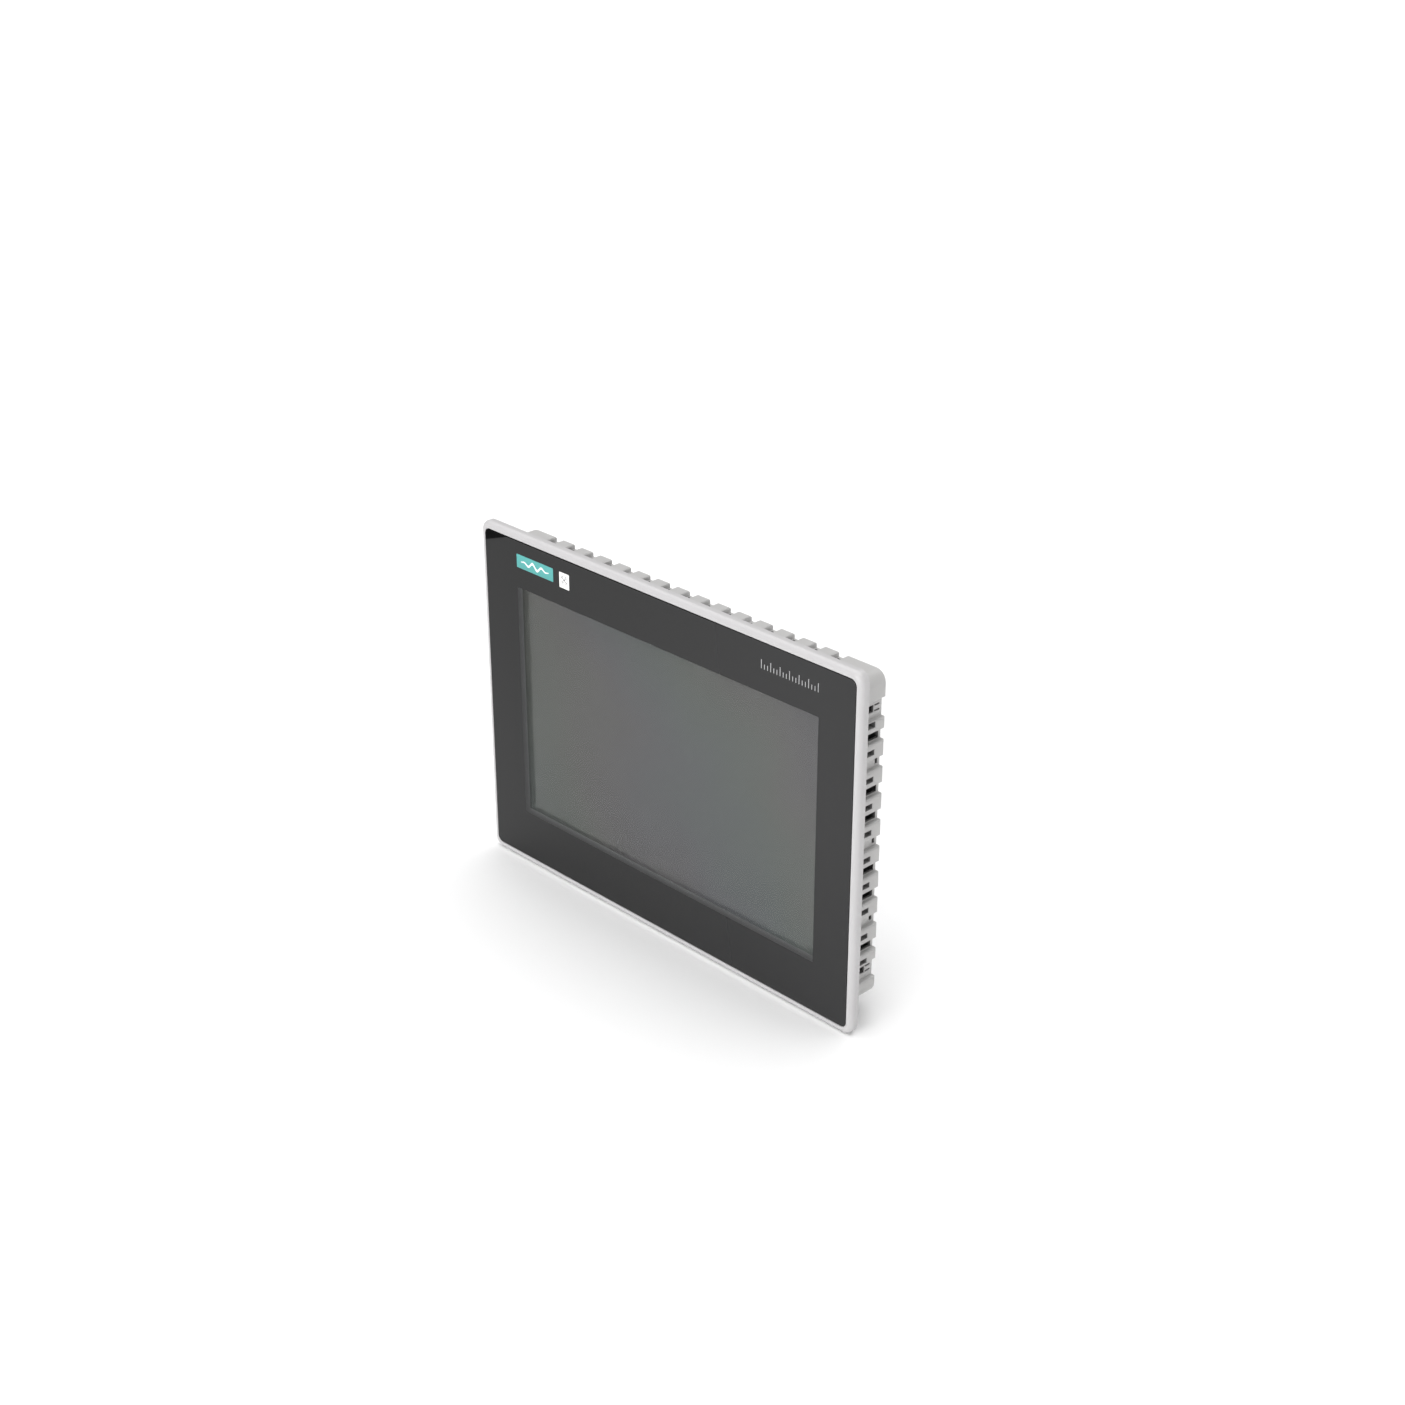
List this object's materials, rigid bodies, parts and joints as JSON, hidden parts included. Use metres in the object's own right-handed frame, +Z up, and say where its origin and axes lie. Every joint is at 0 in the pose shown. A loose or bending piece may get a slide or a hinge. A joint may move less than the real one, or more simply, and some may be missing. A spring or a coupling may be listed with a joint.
{
  "type": "hmi touch panel",
  "caption": "Flush-mounted touch operator panel: thin grey front frame with black-bordered glass, vented rear housing for a panel cut-out, back cover with ports and a card door.",
  "frame": {"origin": "centre of the panel cut-out, on the back face of the front frame's flange", "axes": "+X to the right as seen from the front, +Y from the glass towards the back of the device, +Z up"},
  "size_m": [0.28, 0.049, 0.204],
  "materials": {
    "frame_grey": "fine satin paint",
    "black_glass": "polished glass, printed black border around a clear window",
    "black_rubber": "closed-cell seal",
    "clear_film": "clear film",
    "display_grey": "unlit display, matt grey",
    "white_plastic": "white",
    "label_white": "printed label",
    "teal": "printed colour field",
    "mark_grey": "printed light grey",
    "steel": "zinc-plated sheet",
    "zinc": "bright zinc or nickel plate",
    "housing_grey": "fine-textured",
    "cover_grey": "fine-textured",
    "label_silver": "blank satin label",
    "board_green": "solder mask",
    "chip_black": "moulded",
    "black_plastic": "moulded",
    "aluminium": "satin",
    "terminal_green": "moulded",
    "ribbon_amber": "polyimide film"
  },
  "bodies": {
    "panel": {"front_frame": "frame_grey", "front_glass": "black_glass", "glass_adhesive": "black_rubber", "display_gasket": "black_rubber", "panel_gasket": "black_rubber", "touch_sensor": "clear_film", "light_guide": "clear_film", "lcd_panel": "display_grey", "led_strip": "white_plastic", "code_label": "label_white", "badge_plate": "teal", "series_mark": "mark_grey", "backlight_tray": "steel", "display_bracket_top": "steel", "display_bracket_bottom": "steel", "card_reader": "steel", "door_pin": "steel", "bracket_screw_1": "zinc", "bracket_screw_2": "zinc", "bracket_screw_3": "zinc", "bracket_screw_4": "zinc", "housing_screw_1": "zinc", "housing_screw_2": "zinc", "housing_screw_3": "zinc", "housing_screw_4": "zinc", "cover_screw_1": "zinc", "cover_screw_2": "zinc", "cover_screw_3": "zinc", "cover_screw_4": "zinc", "board_screw_1": "zinc", "board_screw_2": "zinc", "board_screw_3": "zinc", "board_screw_4": "zinc", "earth_screw": "zinc", "earth_washer": "zinc", "backup_battery": "zinc", "ethernet_port_1": "zinc", "ethernet_port_2": "zinc", "usb_port_1": "zinc", "usb_port_2": "zinc", "serial_port": "zinc", "rear_housing": "housing_grey", "back_cover": "cover_grey", "type_plate": "label_silver", "main_board": "board_green", "power_board": "board_green", "processor": "chip_black", "memory_chip": "chip_black", "power_inductor": "chip_black", "reset_switch": "chip_black", "battery_holder": "black_plastic", "heat_sink": "aluminium", "buffer_capacitor_1": "aluminium", "buffer_capacitor_2": "aluminium", "power_socket": "terminal_green", "display_cable": "ribbon_amber", "touch_cable": "ribbon_amber"},
    "card_door": {"card_door": "cover_grey"},
    "memory_card": {"memory_card": "black_plastic"},
    "reset_button": {"reset_button": "black_plastic"}
  },
  "joints": [
    {"name": "card_door_hinge", "type": "hinge", "parent": "panel", "child": "card_door", "pos_m": [0.1039, 0.0272, 0.01], "axis": [0, 0, -1], "range_deg": [0, 95]},
    {"name": "card_eject", "type": "slide", "parent": "panel", "child": "memory_card", "axis": [1, 0, 0], "range_m": [0, 0.003]},
    {"name": "reset_press", "type": "slide", "parent": "panel", "child": "reset_button", "axis": [0, 0, 1], "range_m": [0, 0.0008], "stiffness_N_per_m": 500}
  ]
}
